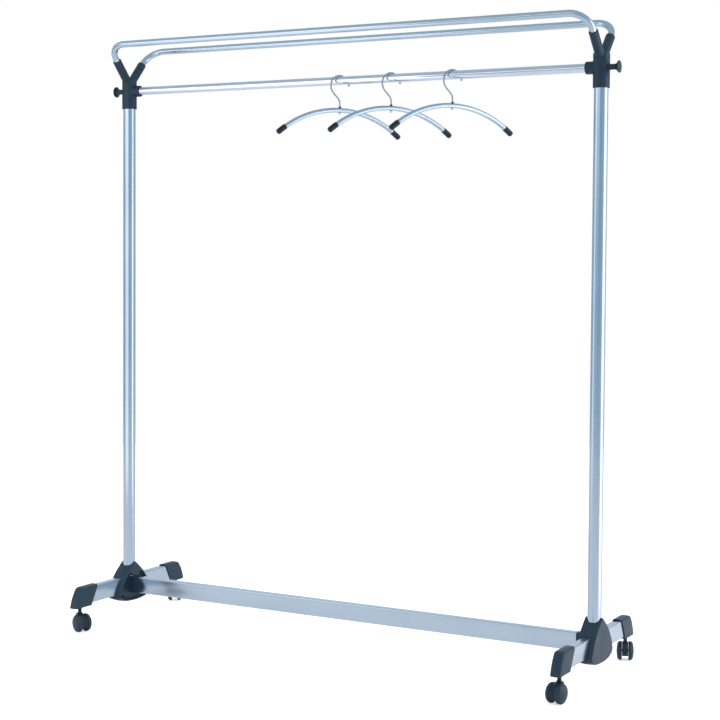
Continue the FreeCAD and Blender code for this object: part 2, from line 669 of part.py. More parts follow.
# ------------------------------------------------------- hanging bar
outer = cyl("bar_outer", d("bar_dia") / 2, d("bar_half") * 2, -d("bar_half"), 0, d("bar_z"), TO_X)
inner = cyl("bar_inner", d("bar_dia") / 2 - d("bar_wall"), d("bar_half") * 2 + 2, -d("bar_half") - 1, 0, d("bar_z"), TO_X)
done("hanging_bar", cut("hanging_bar", outer, inner))
plugs, studs = [], []
for side, s in SIDES:
    rot = TO_MX if s > 0 else TO_X
    body_c = cyl("plug_out_" + side, d("bar_dia") / 2 - d("bar_wall"), d("plug_long"), d("bar_half") * s, 0, d("bar_z"), rot)
    hole_c = cyl("plug_hole_" + side, d("bolt_dia") / 2, d("plug_long") + 10, (d("bar_half") + 5) * s, 0, d("bar_z"), rot)
    plugs.append(cut("plug_" + side, body_c, hole_c))
    studs.append(cyl("stud_" + side, d("bolt_dia") / 2, d("stud_out") - d("stud_in"), d("stud_out") * s, 0, d("bar_z"), rot))
done("bar_end_plugs", group("bar_end_plugs", plugs))
done("peg_studs", group("peg_studs", studs))

# coat pegs: turned knobs, saddle-cut where they meet the sleeve
for side, s in SIDES:
    b = new_body("peg_" + side)
    sk = sketch(b, "peg_section_" + side, "XZ_Plane")
    rs, rh = d("peg_stem") / 2, d("peg_head") / 2
    face_r = (13.0 ** 2 + 1.2 ** 2) / 2.4
    path(sk, [
        (Q.of(16.0), d("bolt_dia") / 2),
        (d("peg_bore_x"), d("bolt_dia") / 2),
        (d("peg_bore_x"), Q.of(0)),
        (d("peg_tip_x"), Q.of(0), face_r, True),
        (d("peg_face_x"), rh - 2, 2.0, True),
        (d("peg_face_x") - 2, rh),
        (d("peg_flare_x") - 1, rh, 14.0, False),
        (d("peg_neck_x"), rs),
        (Q.of(16.0), rs),
    ])
    rev = b.newObject("PartDesign::Revolution", "peg_turned_" + side)
    rev.Profile = sk
    rev.ReferenceAxis = (sk, ["H_Axis"])
    rev.Angle = 360.0
    doc.recompute()
    sk = sketch(b, "saddle_" + side, "XY_Plane")
    circle(sk, 0, 0, d("sleeve_dia") / 2)
    pocket(b, "saddle_cut_" + side, sk, 60.0, sym=True)
    put(b, PX * s, 0, d("bar_z"), turn_z(0 if s > 0 else 180))
    done("coat_peg_" + side, b)

# ------------------------------------------------------- hangers
HOOK_TOP = d("bar_z") + d("bar_dia") / 2 + d("hook_clear") + d("wire_dia") / 2
HOOK_C = HOOK_TOP - d("hook_radius")
for n, xc in (("1", d("hanger_x_one")), ("2", d("hanger_x_two")), ("3", d("hanger_x_three"))):
    rot = turn_z(VALUES["hanger_turn"])
    # hook: straight shank, a bend, a leaning run and the round loop over the bar
    b = new_body("hook_" + n)
    R, lean, rb = d("hook_radius"), d("hook_lean"), d("hook_turn")
    low = d("arch_z") - d("arch_dia") / 2 - d("nut_clear") - d("nut_high")
    corner = HOOK_C - R / qsin(lean)
    half_tan = qsin(lean / 2) / qcos(lean / 2)
    tan_len = rb * half_tan
    spine = sketch(b, "hook_spine_" + n, "XZ_Plane")
    # tangent point of the leaning run on the loop
    tx, tz = -(R * qcos(lean)), HOOK_C - R * qsin(lean)
    ex, ez = R * qcos(d("hook_open")), HOOK_C + R * qsin(d("hook_open"))
    shank_line = path(spine, [
        (Q.of(0), low),
        (Q.of(0), corner - tan_len, rb, True),
        (-(tan_len * qsin(lean)), corner + tan_len * qcos(lean)),
        (tx, tz, R, False),
        (Q.of(0), HOOK_TOP, R, False),
        (ex, ez),
    ], closed=False)
    disc = sketch(b, "hook_disc_" + n, "XY_Plane", low)
    circle(disc, 0, 0, d("wire_dia") / 2)
    doc.recompute()
    pipe = b.newObject("PartDesign::AdditivePipe", "hook_pipe_" + n)
    pipe.Profile = disc
    pipe.Spine = spine
    doc.recompute()
    # ball on the free end
    sk = sketch(b, "hook_ball_" + n, "XZ_Plane")
    rbll = d("ball_dia") / 2
    bx, bz = ex, ez - 1.0
    path(sk, [(bx, bz - rbll, rbll, True), (bx + rbll, bz, rbll, True), (bx, bz + rbll)])
    rev = b.newObject("PartDesign::Revolution", "hook_ball_turn_" + n)
    rev.Profile = sk
    rev.ReferenceAxis = (sk, ["Edge3"])
    rev.Angle = 360.0
    doc.recompute()
    put(b, xc, 0, 0, rot)
    done("hanger_%s_hook" % n, b)
    # nut under the arch, on the shank's end
    hexa = doc.addObject("Part::Prism", "nut_prism_" + n)
    hexa.Polygon = 6
    bind(hexa, "Circumradius", d("nut_dia") / 2)
    bind(hexa, "Height", d("nut_high"))
    put(hexa, xc, 0, low, rot)
    hole = cyl("nut_hole_" + n, d("wire_dia") / 2, d("nut_high") + 4, xc, 0, low - 2)
    done("hanger_%s_nut" % n, cut("nut_" + n, hexa, hole))
    # arch: bent tube with a drilled crown
    b = new_body("arch_" + n)
    sk = sketch(b, "arch_ring_" + n, "YZ_Plane")
    circle(sk, 0, d("arch_z"), d("arch_dia") / 2)
    circle(sk, 0, d("arch_z"), d("arch_dia") / 2 - d("arch_wall"))
    line = sk.addGeometry(Part.LineSegment(V(-10, VALUES["arch_z"] - VALUES["arch_radius"], 0), V(10, VALUES["arch_z"] - VALUES["arch_radius"], 0)), True)
    pin_point(sk, line, 1, -10.0, d("arch_z") - d("arch_radius"))
    pin_point(sk, line, 2, 10.0, d("arch_z") - d("arch_radius"))
    doc.recompute()
    rev = b.newObject("PartDesign::Revolution", "arch_bend_" + n)
    rev.Profile = sk
    rev.ReferenceAxis = (sk, ["Axis0"])
    bind(rev, "Angle", d("arch_angle") * 2)
    rev.Midplane = True
    doc.recompute()
    sk = sketch(b, "arch_hole_" + n, "XY_Plane", d("arch_z") - 12)
    circle(sk, 0, 0, d("wire_dia") / 2 + d("run_gap"))
    pocket(b, "arch_hole_cut_" + n, sk, 30.0, reverse=True)
    put(b, xc, 0, 0, rot)
    done("hanger_%s_arch" % n, b)
    # moulded tips over the arch's ends
    tips = []
    zc = VALUES["arch_z"] - VALUES["arch_radius"]
    for letter, flip in (("a", 0), ("b", 180)):
        def torus(name, radius, a0, a1):
            o = doc.addObject("Part::Torus", name)
            bind(o, "Radius1", d("arch_radius"))
            bind(o, "Radius2", radius)
            bind(o, "Angle3", a1 - a0)
            t = math.radians(a0.num)
            axes = FreeCAD.Rotation(V(math.sin(t), 0, math.cos(t)), V(math.cos(t), 0, -math.sin(t)), V(0, 1, 0), "XYZ")
            full = turn_z(VALUES["hanger_turn"] + flip).multiply(axes)
            o.Placement = FreeCAD.Placement(V(num(xc), 0, zc), full)
            return o
        outer = torus("tip_outer_%s%s" % (n, letter), d("tip_dia") / 2, d("tip_start"), d("tip_end"))
        socket_t = torus("tip_socket_%s%s" % (n, letter), d("arch_dia") / 2, d("tip_start") - 1, d("arch_angle"))
        body_c = cut("tip_body_%s%s" % (n, letter), outer, socket_t)
        doc.recompute()
        rounded = doc.addObject("Part::Fillet", "tip_%s%s" % (n, letter))
        rounded.Base = body_c
        want = []
        for i, e in enumerate(body_c.Shape.Edges):
            if e.Length > 2 * math.pi * VALUES["tip_dia"] / 2 * 0.9:
                c = e.BoundBox.Center
                want.append((c.z, i + 1))
        want.sort()
        rounded.Edges = [(want[0][1], VALUES["tip_round"], VALUES["tip_round"])]
        tips.append(rounded)
    done("hanger_%s_tips" % n, group("tips_" + n, tips))
    # ferrule sitting on the crown
    body_c = cyl("ferrule_body_" + n, d("ferrule_dia") / 2, d("ferrule_high") + 3, xc, 0, d("arch_z") + d("arch_dia") / 2 - 3)
    crown = doc.addObject("Part::Torus", "ferrule_crown_" + n)
    bind(crown, "Radius1", d("arch_radius"))
    bind(crown, "Radius2", d("arch_dia") / 2)
    bind(crown, "Angle3", 20.0)
    t = math.radians(-10.0)
    axes = FreeCAD.Rotation(V(math.sin(t), 0, math.cos(t)), V(math.cos(t), 0, -math.sin(t)), V(0, 1, 0), "XYZ")
    crown.Placement = FreeCAD.Placement(V(num(xc), 0, zc), rot.multiply(axes))
    hole = cyl("ferrule_hole_" + n, d("wire_dia") / 2 + d("run_gap"), 30.0, xc, 0, d("arch_z") - 10)
    done("hanger_%s_ferrule" % n, cut("ferrule_" + n, body_c, fuse("ferrule_tools_" + n, [crown, hole])))

# ------------------------------------------------------- check and write
doc.recompute()
problems = []
for o in doc.Objects:
    if "Invalid" in o.State or "Error" in o.State:
        problems.append("%s is %s" % (o.Name, o.State))
labels = [p[0] for p in PARTS]
if len(set(labels)) != len(labels):
    problems.append("two parts share a label")
for label, obj in PARTS:
    if obj.Label != label:
        problems.append("label %s became %s" % (label, obj.Label))
    sh = obj.Shape
    if sh.isNull() or not sh.isValid() or not sh.Solids:
        problems.append("%s has no valid solid" % label)
if problems:
    raise RuntimeError("; ".join(problems))
os.makedirs("parts", exist_ok=True)
for old in os.listdir("parts"):
    if old.endswith(".step"):
        os.remove(os.path.join("parts", old))
for label, obj in PARTS:
    obj.Shape.exportStep("parts/%s.step" % label)
    print("%-26s solids %d  volume %.0f" % (label, len(obj.Shape.Solids), obj.Shape.Volume))
print("nodes", len(PARTS))
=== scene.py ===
import json
import math

import bmesh
import bpy
from mathutils import Matrix, Vector


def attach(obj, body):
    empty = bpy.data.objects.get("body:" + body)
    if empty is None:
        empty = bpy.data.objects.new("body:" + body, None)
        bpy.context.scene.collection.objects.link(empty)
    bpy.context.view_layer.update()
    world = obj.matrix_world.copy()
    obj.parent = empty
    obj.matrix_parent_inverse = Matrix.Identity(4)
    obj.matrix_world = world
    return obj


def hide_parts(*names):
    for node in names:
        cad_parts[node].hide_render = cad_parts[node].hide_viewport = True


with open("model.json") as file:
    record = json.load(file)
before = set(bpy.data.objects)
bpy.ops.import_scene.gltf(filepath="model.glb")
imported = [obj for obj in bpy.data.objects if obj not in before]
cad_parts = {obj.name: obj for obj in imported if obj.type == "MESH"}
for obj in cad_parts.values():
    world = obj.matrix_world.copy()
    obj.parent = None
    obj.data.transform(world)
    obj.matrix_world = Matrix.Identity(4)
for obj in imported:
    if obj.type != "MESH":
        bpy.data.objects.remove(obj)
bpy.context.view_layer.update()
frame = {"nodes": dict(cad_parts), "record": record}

# Rolling garment stand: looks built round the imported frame. Lengths in this
# file are millimetres until a mesh is made, and metres in the scene.

MM = 0.001
NODES = frame["nodes"]
BODY_OF = {n: b for b, ns in frame["record"]["behaviour"]["bodies"].items() for n in ns}
SCENE = bpy.context.scene
COLL = SCENE.collection

# ------------------------------------------------------------------ mesh tools


def mesh_object(name, verts, faces, scale=MM):
    me = bpy.data.meshes.new(name)
    me.from_pydata([(v[0] * scale, v[1] * scale, v[2] * scale) for v in verts], [], faces)
    me.validate()
    bm = bmesh.new()
    bm.from_mesh(me)
    bmesh.ops.remove_doubles(bm, verts=bm.verts, dist=1e-7)
    bmesh.ops.recalc_face_normals(bm, faces=bm.faces)
    bm.to_mesh(me)
    bm.free()
    o = bpy.data.objects.new(name, me)
    COLL.objects.link(o)
    return o


def shade(o, degrees=32.0):
    """Smooth faces, with a sharp edge wherever two faces meet at more than the given angle."""
    me = o.data
    bm = bmesh.new()
    bm.from_mesh(me)
    limit = math.radians(degrees)
    for f in bm.faces:
        f.smooth = True
    for e in bm.edges:
        e.smooth = not (len(e.link_faces) != 2 or e.calc_face_angle(0.0) > limit)
    bm.to_mesh(me)
    bm.free()
    return o


def bake(o):
    bpy.context.view_layer.update()
    dg = bpy.context.evaluated_depsgraph_get()
    made = bpy.data.meshes.new_from_object(o.evaluated_get(dg))
    o.modifiers.clear()
    old = o.data
    o.data = made
    bpy.data.meshes.remove(old)
    return o


def drop(o):
    me = o.data
    bpy.data.objects.remove(o)
    if me.users == 0:
        bpy.data.meshes.remove(me)


def boolean(o, tool, operation="DIFFERENCE"):
    m = o.modifiers.new("op", "BOOLEAN")
    m.operation = operation
    m.solver = "EXACT"
    m.object = tool
    bake(o)
    drop(tool)
    return o


def skin(loops, cap_start=True, cap_end=True, closed=False):
    """Quads between loops of equal length, with a face over each end unless closed into a ring."""
    n = len(loops[0])
    verts = [p for loop in loops for p in loop]
    faces = []
    count = len(loops)
    for k in range(count if closed else count - 1):
        a, b = k * n, ((k + 1) % count) * n
        for i in range(n):
            j = (i + 1) % n
            faces.append((a + i, a + j, b + j, b + i))
    if not closed:
        if cap_start:
            faces.append(tuple(range(n - 1, -1, -1)))
        if cap_end:
            faces.append(tuple((count - 1) * n + i for i in range(n)))
    return verts, faces


def rounded(points, closed=True, steps=6):
    """points are (x, y, radius): the line through them with each corner turned to its radius."""
    out = []
    n = len(points)
    for i in range(n):
        p = Vector(points[i][:2])
        r = points[i][2] if len(points[i]) > 2 else 0.0
        if r <= 0 or (not closed and i in (0, n - 1)):
            out.append((p.x, p.y))
            continue
        a = Vector(points[(i - 1) % n][:2]) - p
        b = Vector(points[(i + 1) % n][:2]) - p
        la, lb = a.length, b.length
        a.normalize()
        b.normalize()
        turn = math.acos(max(-1.0, min(1.0, a.dot(b))))
        if turn > math.pi - 1e-3:
            out.append((p.x, p.y))
            continue
        t = min(r / math.tan(turn / 2), la * 0.499, lb * 0.499)
        r = t * math.tan(turn / 2)
        mid = (a + b).normalized()
        c = p + mid * (r / math.sin(turn / 2))
        s, e = p + a * t - c, p + b * t - c
        a0, a1 = math.atan2(s.y, s.x), math.atan2(e.y, e.x)
        while a1 - a0 > math.pi:
            a1 -= 2 * math.pi
        while a1 - a0 < -math.pi:
            a1 += 2 * math.pi
        for k in range(steps + 1):
            w = a0 + (a1 - a0) * k / steps
            out.append((c.x + r * math.cos(w), c.y + r * math.sin(w)))
    return out


def lathe(name, profile, seg=96, closed=False):
    """profile is (radius, height) about +Z; a closed profile makes a ring with a bore."""
    verts, faces = [], []
    rows = []
    for r, h in profile:
        if r < 1e-6:
            rows.append([len(verts)])
            verts.append((0.0, 0.0, h))
        else:
            rows.append(list(range(len(verts), len(verts) + seg)))
            for k in range(seg):
                a = 2 * math.pi * k / seg
                verts.append((r * math.cos(a), r * math.sin(a), h))
    pairs = list(zip(rows[:-1], rows[1:]))
    if closed:
        pairs.append((rows[-1], rows[0]))
    for a, b in pairs:
        if len(a) == 1 and len(b) == 1:
            continue
        for k in range(seg):
            j = (k + 1) % seg
            if len(a) == 1:
                faces.append((a[0], b[k], b[j]))
            elif len(b) == 1:
                faces.append((a[k], b[0], a[j]))
            else:
                faces.append((a[k], a[j], b[j], b[k]))
    return mesh_object(name, verts, faces)


def frames_along(points, first):
    """Carries a side direction along the line without twist."""
    out = []
    side = Vector(first)
    n = len(points)
    for i in range(n):
        a = points[max(i - 1, 0)]
        b = points[min(i + 1, n - 1)]
        t = (b - a).normalized()
        side = (side - t * side.dot(t)).normalized()
        out.append((t, side, t.cross(side)))
    return out


def sweep(name, points, radii, first=(0, 1, 0), seg=32, inner=None):
    """A round tube along points, radius by point. With inner it is hollow."""
    pts = [Vector(p) for p in points]
    fr = frames_along(pts, first)

    def ring(p, f, r):
        t, s, u = f
        return [tuple(p + s * (r * math.cos(2 * math.pi * k / seg)) + u * (r * math.sin(2 * math.pi * k / seg))) for k in range(seg)]

    loops = [ring(p, f, r) for p, f, r in zip(pts, fr, radii)]
    if inner is not None:
        loops += [ring(p, f, r) for p, f, r in reversed(list(zip(pts, fr, inner)))]
        verts, faces = skin(loops, closed=True)
    else:
        verts, faces = skin(loops)
    return mesh_object(name, verts, faces)


def arc(cx, cy, r, a0, a1, steps):
    return [(cx + r * math.cos(math.radians(a0 + (a1 - a0) * k / steps)), cy + r * math.sin(math.radians(a0 + (a1 - a0) * k / steps))) for k in range(steps + 1)]


def place(o, matrix):
    o.data.transform(matrix)
    if matrix.is_negative:
        o.data.flip_normals()
    o.data.update()
    return o


def twin(o, name, matrix):
    c = bpy.data.objects.new(name, o.data.copy())
    COLL.objects.link(c)
    return place(c, matrix)


def move(x=0.0, y=0.0, z=0.0):
    return Matrix.Translation((x * MM, y * MM, z * MM))


def spin(deg, axis="Z"):
    return Matrix.Rotation(math.radians(deg), 4, axis)


def soft_copy(node, name, voxel, rounds, cutters=()):
    """A copy of a frame node's solid with its edges and inner corners moulded round."""
    o = bpy.data.objects.new(name, NODES[node].data.copy())
    COLL.objects.link(o)
    bm = bmesh.new()
    bm.from_mesh(o.data)
    bmesh.ops.remove_doubles(bm, verts=bm.verts, dist=2e-6)
    bmesh.ops.dissolve_degenerate(bm, edges=bm.edges, dist=1e-6)
    bm.to_mesh(o.data)
    bm.free()
    o.data.materials.clear()
    for c in cutters:
        boolean(o, c)
    m = o.modifiers.new("voxels", "REMESH")
    m.mode = "VOXEL"
    m.voxel_size = voxel * MM
    m.adaptivity = 0.0
    s = o.modifiers.new("soften", "SMOOTH")
    s.factor = 0.5
    s.iterations = rounds
    bake(o)
    for p in o.data.polygons:
        p.use_smooth = True
    return o


def finish_piece(o, node, mat):
    """The piece rides on its node's body and stands for the node."""
    o.data.materials.clear()
    o.data.materials.append(mat)
    nodes = (node,) if isinstance(node, str) else tuple(node)
    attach(o, BODY_OF[nodes[0]])
    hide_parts(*nodes)
    return o


# ------------------------------------------------------------------ materials


class Mat:
    """A node material with a Principled shader and a few short hands for its nodes."""

    def __init__(self, name):
        self.m = bpy.data.materials.new(name)
        self.m.use_nodes = True
        self.t = self.m.node_tree
        self.t.nodes.clear()
        self.out = self.t.nodes.new("ShaderNodeOutputMaterial")
        self.p = self.t.nodes.new("ShaderNodeBsdfPrincipled")
        self.t.links.new(self.p.outputs[0], self.out.inputs[0])
        self.co = self.t.nodes.new("ShaderNodeTexCoord")

    def node(self, kind, **props):
        n = self.t.nodes.new(kind)
        for k, v in props.items():
            setattr(n, k, v)
        return n

    def link(self, a, b):
        self.t.links.new(a, b)

    def mapped(self, scale):
        n = self.node("ShaderNodeMapping")
        n.inputs["Scale"].default_value = scale
        self.link(self.co.outputs["Object"], n.inputs["Vector"])
        return n.outputs[0]

    def noise(self, scale, detail=3.0, rough=0.55, vector=None):
        n = self.node("ShaderNodeTexNoise")
        n.inputs["Scale"].default_value = scale
        n.inputs["Detail"].default_value = detail
        n.inputs["Roughness"].default_value = rough
        self.link(vector if vector is not None else self.co.outputs["Object"], n.inputs["Vector"])
        return n.outputs["Fac"]

    def cells(self, scale, vector=None):
        n = self.node("ShaderNodeTexVoronoi")
        n.inputs["Scale"].default_value = scale
        self.link(vector if vector is not None else self.co.outputs["Object"], n.inputs["Vector"])
        return n

    def ramp(self, fac, stops, linear=True):
        n = self.node("ShaderNodeValToRGB")
        n.color_ramp.interpolation = "LINEAR" if linear else "EASE"
        while len(n.color_ramp.elements) > 1:
            n.color_ramp.elements.remove(n.color_ramp.elements[-1])
        for i, (pos, col) in enumerate(stops):
            e = n.color_ramp.elements[0] if i == 0 else n.color_ramp.elements.new(pos)
            e.position = pos
            e.color = tuple(col) + (1.0,) if len(col) == 3 else col
        self.link(fac, n.inputs[0])
        return n.outputs[0]

    def span(self, fac, lo, hi, out_lo, out_hi):
        n = self.node("ShaderNodeMapRange")
        n.inputs["From Min"].default_value = lo
        n.inputs["From Max"].default_value = hi
        n.inputs["To Min"].default_value = out_lo
        n.inputs["To Max"].default_value = out_hi
        self.link(fac, n.inputs["Value"])
        return n.outputs[0]

    def mix(self, fac, a, b, blend="MIX"):
        n = self.node("ShaderNodeMix", data_type="RGBA", blend_type=blend)
        for sock, v in ((n.inputs["Factor"], fac), (n.inputs[6], a), (n.inputs[7], b)):
            if isinstance(v, bpy.types.NodeSocket):
                self.link(v, sock)
            elif isinstance(v, (int, float)):
                sock.default_value = v
            else:
                sock.default_value = tuple(v) + (1.0,)
        return n.outputs[2]

    def math(self, op, a, b=None):
        n = self.node("ShaderNodeMath", operation=op)
        for sock, v in ((n.inputs[0], a), (n.inputs[1], b)):
            if v is None:
                continue
            if isinstance(v, bpy.types.NodeSocket):
                self.link(v, sock)
            else:
                sock.default_value = v
        return n.outputs[0]

    def bump(self, height, distance, strength=1.0, under=None):
        n = self.node("ShaderNodeBump")
        n.inputs["Distance"].default_value = distance
        n.inputs["Strength"].default_value = strength
        self.link(height, n.inputs["Height"])
        if under is not None:
            self.link(under, n.inputs["Normal"])
        return n.outputs[0]

    def set(self, **values):
        for k, v in values.items():
            self.p.inputs[k.replace("_", " ")].default_value = v


def silver_paint(name, base, light, streak_axis, rough=(0.19, 0.25), metallic=1.0):
    """Satin silver lacquer over metal: fine flakes, a trace of drawing lines, faint clouding and orange peel."""
    m = Mat(name)
    stretch = {"Z": (260.0, 260.0, 2.2), "Y": (260.0, 2.2, 260.0), "X": (2.2, 260.0, 260.0), "": (60.0, 60.0, 60.0)}[streak_axis]
    lines = m.noise(1.0, 4.0, 0.6, m.mapped(stretch))
    cloud = m.noise(7.0, 3.0, 0.5)
    flakes = m.cells(2600.0)
    tone = m.mix(m.span(cloud, 0.35, 0.65, 0.0, 1.0), base, light)
    tone = m.mix(m.span(lines, 0.4, 0.62, 0.0, 0.05), tone, tuple(c * 0.86 for c in base))
    tone = m.mix(m.span(flakes.outputs["Color"], 0.0, 1.0, 0.0, 0.05), tone, (0.86, 0.92, 1.0))
    m.link(tone, m.p.inputs["Base Color"])
    r = m.math("ADD", m.span(cloud, 0.3, 0.7, rough[0], rough[1]), m.span(lines, 0.35, 0.65, -0.01, 0.01))
    m.link(r, m.p.inputs["Roughness"])
    peel = m.noise(420.0, 2.0, 0.5)
    n1 = m.bump(peel, 0.00001, 0.25)
    m.link(m.bump(lines, 0.000004, 0.1, n1), m.p.inputs["Normal"])
    m.set(Metallic=metallic, Coat_Weight=0.25, Coat_Roughness=0.12)
    return m.m


def chrome(name):
    """Bright plated tube: faint polishing lines and a little handling haze."""
    m = Mat(name)
    lines = m.noise(1.0, 4.0, 0.6, m.mapped((3.0, 420.0, 420.0)))
    haze = m.noise(22.0, 4.0, 0.6)
    tone = m.mix(m.span(haze, 0.45, 0.75, 0.0, 0.5), (0.66, 0.70, 0.78), (0.60, 0.65, 0.73))
    m.link(tone, m.p.inputs["Base Color"])
    r = m.math("ADD", m.span(haze, 0.4, 0.8, 0.045, 0.12), m.span(lines, 0.3, 0.7, 0.0, 0.03))
    m.link(r, m.p.inputs["Roughness"])
    m.link(m.bump(lines, 0.00001, 0.25), m.p.inputs["Normal"])
    m.set(Metallic=1.0)
    return m.m


def steel(name, base, rough, scale=180.0):
    m = Mat(name)
    lines = m.noise(scale, 4.0, 0.6)
    tone = m.mix(m.span(lines, 0.35, 0.7, 0.0, 1.0), base, tuple(c * 0.72 for c in base))
    m.link(tone, m.p.inputs["Base Color"])
    m.link(m.span(lines, 0.3, 0.7, rough, rough + 0.12), m.p.inputs["Roughness"])
    m.link(m.bump(m.noise(900.0, 2.0), 0.00002, 0.3), m.p.inputs["Normal"])
    m.set(Metallic=1.0)
    return m.m


def moulded(name, dark, light, rough=(0.36, 0.48), grain=1500.0, depth=0.00005, wear=0.3, spec=0.45):
    """Moulded plastic: a leather-fine spark texture, slight flow clouding and paler, polished edges."""
    m = Mat(name)
    cloud = m.noise(38.0, 4.0, 0.6)
    fine = m.noise(grain, 3.0, 0.6)
    pits = m.cells(grain * 0.8)
    tone = m.mix(m.span(cloud, 0.35, 0.68, 0.0, 1.0), dark, light)
    geo = m.node("ShaderNodeNewGeometry")
    edge = m.span(geo.outputs["Pointiness"], 0.505, 0.56, 0.0, wear)
    scuffed = m.math("MULTIPLY", edge, m.span(m.noise(260.0, 4.0, 0.7), 0.35, 0.7, 0.3, 1.0))
    tone = m.mix(scuffed, tone, tuple(min(1.0, c * 2.6 + 0.012) for c in light))
    tone = m.mix(m.span(fine, 0.35, 0.7, 0.0, 0.25), tone, tuple(c * 0.7 for c in dark))
    m.link(tone, m.p.inputs["Base Color"])
    r = m.math("ADD", m.span(cloud, 0.3, 0.7, rough[0], rough[1]), m.span(fine, 0.3, 0.7, -0.03, 0.05))
    m.link(r, m.p.inputs["Roughness"])
    n1 = m.bump(fine, depth, 0.5)
    m.link(m.bump(pits.outputs["Distance"], depth * 0.8, 0.35, n1), m.p.inputs["Normal"])
    m.set(IOR=1.5, Specular_IOR_Level=spec, Specular_Tint=(0.58, 0.86, 1.0, 1.0))
    return m.m


SILVER = (0.45, 0.54, 0.63)
SILVER_LIGHT = (0.48, 0.57, 0.66)
PAINT_Z = silver_paint("silver_paint_upright", SILVER, SILVER_LIGHT, "Z")
PAINT_Y = silver_paint("silver_paint_legs", SILVER, SILVER_LIGHT, "Y")
PAINT_X = silver_paint("silver_paint_long", SILVER, SILVER_LIGHT, "X")
HANGER = silver_paint("hanger_lacquer", (0.42, 0.52, 0.62), (0.45, 0.55, 0.65), "", rough=(0.26, 0.32))
CHROME = chrome("bright_plating")
PIN_STEEL = steel("plain_steel_pins", (0.62, 0.65, 0.68), 0.22)
SCREW_BLACK = steel("blackened_screws", (0.035, 0.040, 0.048), 0.38, 260.0)
HOOK_STEEL = steel("hook_wire_steel", (0.42, 0.47, 0.53), 0.20, 320.0)
NUT_STEEL = steel("hook_nut_steel", (0.66, 0.70, 0.74), 0.22, 300.0)
CHARCOAL = moulded("charcoal_moulding", (0.0095, 0.020, 0.034), (0.013, 0.026, 0.043))
CONNECTOR = moulded("connector_moulding", (0.008, 0.017, 0.029), (0.011, 0.022, 0.037), rough=(0.38, 0.5))
KNOB = moulded("peg_moulding", (0.006, 0.011, 0.019), (0.009, 0.015, 0.025), rough=(0.28, 0.38), grain=1900.0)
CASTER_P = moulded("caster_moulding", (0.006, 0.010, 0.015), (0.009, 0.014, 0.021), rough=(0.36, 0.48), grain=1900.0, wear=0.25)
NYLON = moulded("wheel_nylon", (0.010, 0.018, 0.030), (0.015, 0.026, 0.040), rough=(0.34, 0.46), grain=1700.0, wear=0.3)
TIP = moulded("hanger_tip_vinyl", (0.0035, 0.005, 0.009), (0.006, 0.008, 0.013), rough=(0.24, 0.34), grain=2200.0, depth=0.00003, wear=0.2)

# ------------------------------------------------------------------ camera


def camera():
    data = bpy.data.cameras.new("camera")
    cam = bpy.data.objects.new("camera", data)
    COLL.objects.link(cam)
    yaw, pitch, roll = math.radians(28.866), math.radians(-2.463), math.radians(0.389)
    fwd = Vector((-math.sin(yaw) * math.cos(pitch), math.cos(yaw) * math.cos(pitch), math.sin(pitch)))
    right = Vector((math.cos(yaw), math.sin(yaw), 0.0))
    up = right.cross(fwd)
    r2 = right * math.cos(roll) + up * math.sin(roll)
    u2 = -right * math.sin(roll) + up * math.cos(roll)
    m = Matrix((r2, u2, -fwd)).transposed().to_4x4()
    m.translation = Vector((2.1126, -3.7016, 1.0391))
    cam.matrix_world = m
    data.sensor_width = 36.0
    data.lens = 81.35
    data.shift_x = -0.0128
    data.shift_y = -0.0528
    data.clip_start, data.clip_end = 0.05, 200.0
    SCENE.camera = cam


camera()

# ------------------------------------------------------------------ studio

SCENE.view_settings.view_transform = "Standard"
SCENE.view_settings.look = "None"


